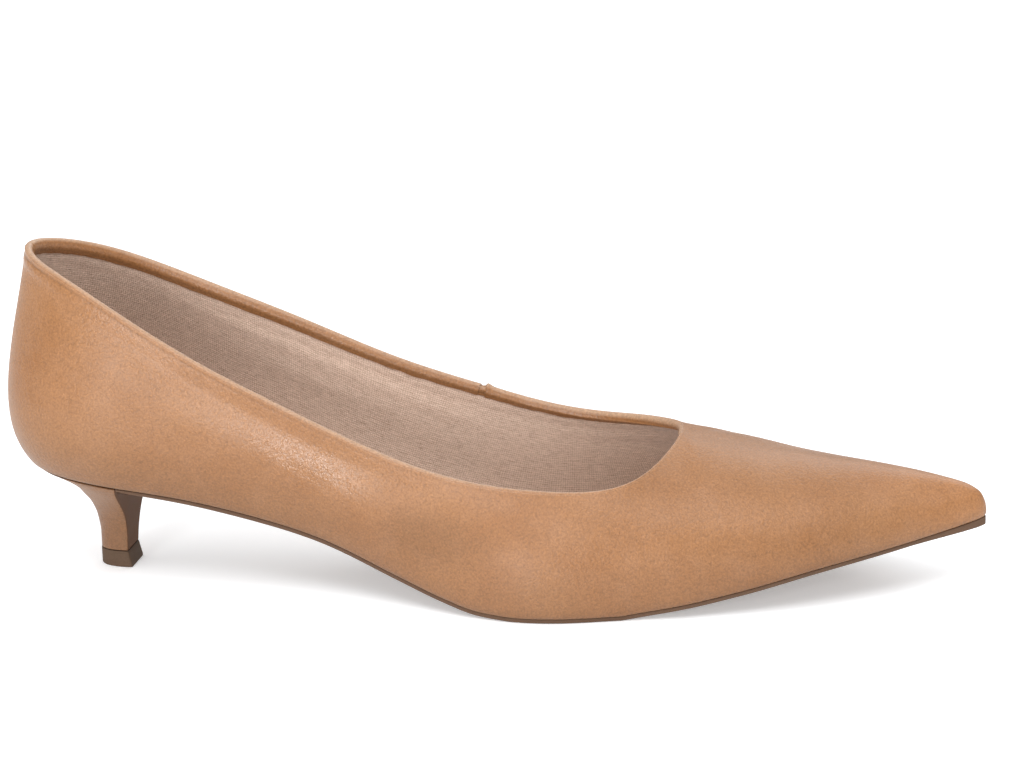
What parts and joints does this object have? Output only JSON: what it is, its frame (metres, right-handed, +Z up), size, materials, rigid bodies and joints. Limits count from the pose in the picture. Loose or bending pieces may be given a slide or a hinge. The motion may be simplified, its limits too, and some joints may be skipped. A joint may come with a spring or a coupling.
{
  "type": "kitten heel pump",
  "caption": "Pointed-toe slip-on pump with a low kitten heel, a low-cut rolled topline, a smooth leather upper, a thin outsole and a rubber heel tip; right shoe.",
  "frame": {"origin": "centre of the bounding box's footprint, on the floor", "axes": "+X from the heel to the toe, +Y to the inner side of the foot (this is the right shoe), +Z up"},
  "size_m": [0.2626, 0.0806, 0.089],
  "materials": {
    "tan_leather": "satin, fine pebble grain",
    "taupe_lining": "woven textile, matt",
    "brown_sole": "matt",
    "brown_rubber": "matt"
  },
  "bodies": {
    "root": {"upper": "tan_leather", "heel": "tan_leather", "insole": "taupe_lining", "outsole": "brown_sole", "top_piece": "brown_rubber"}
  },
  "joints": []
}
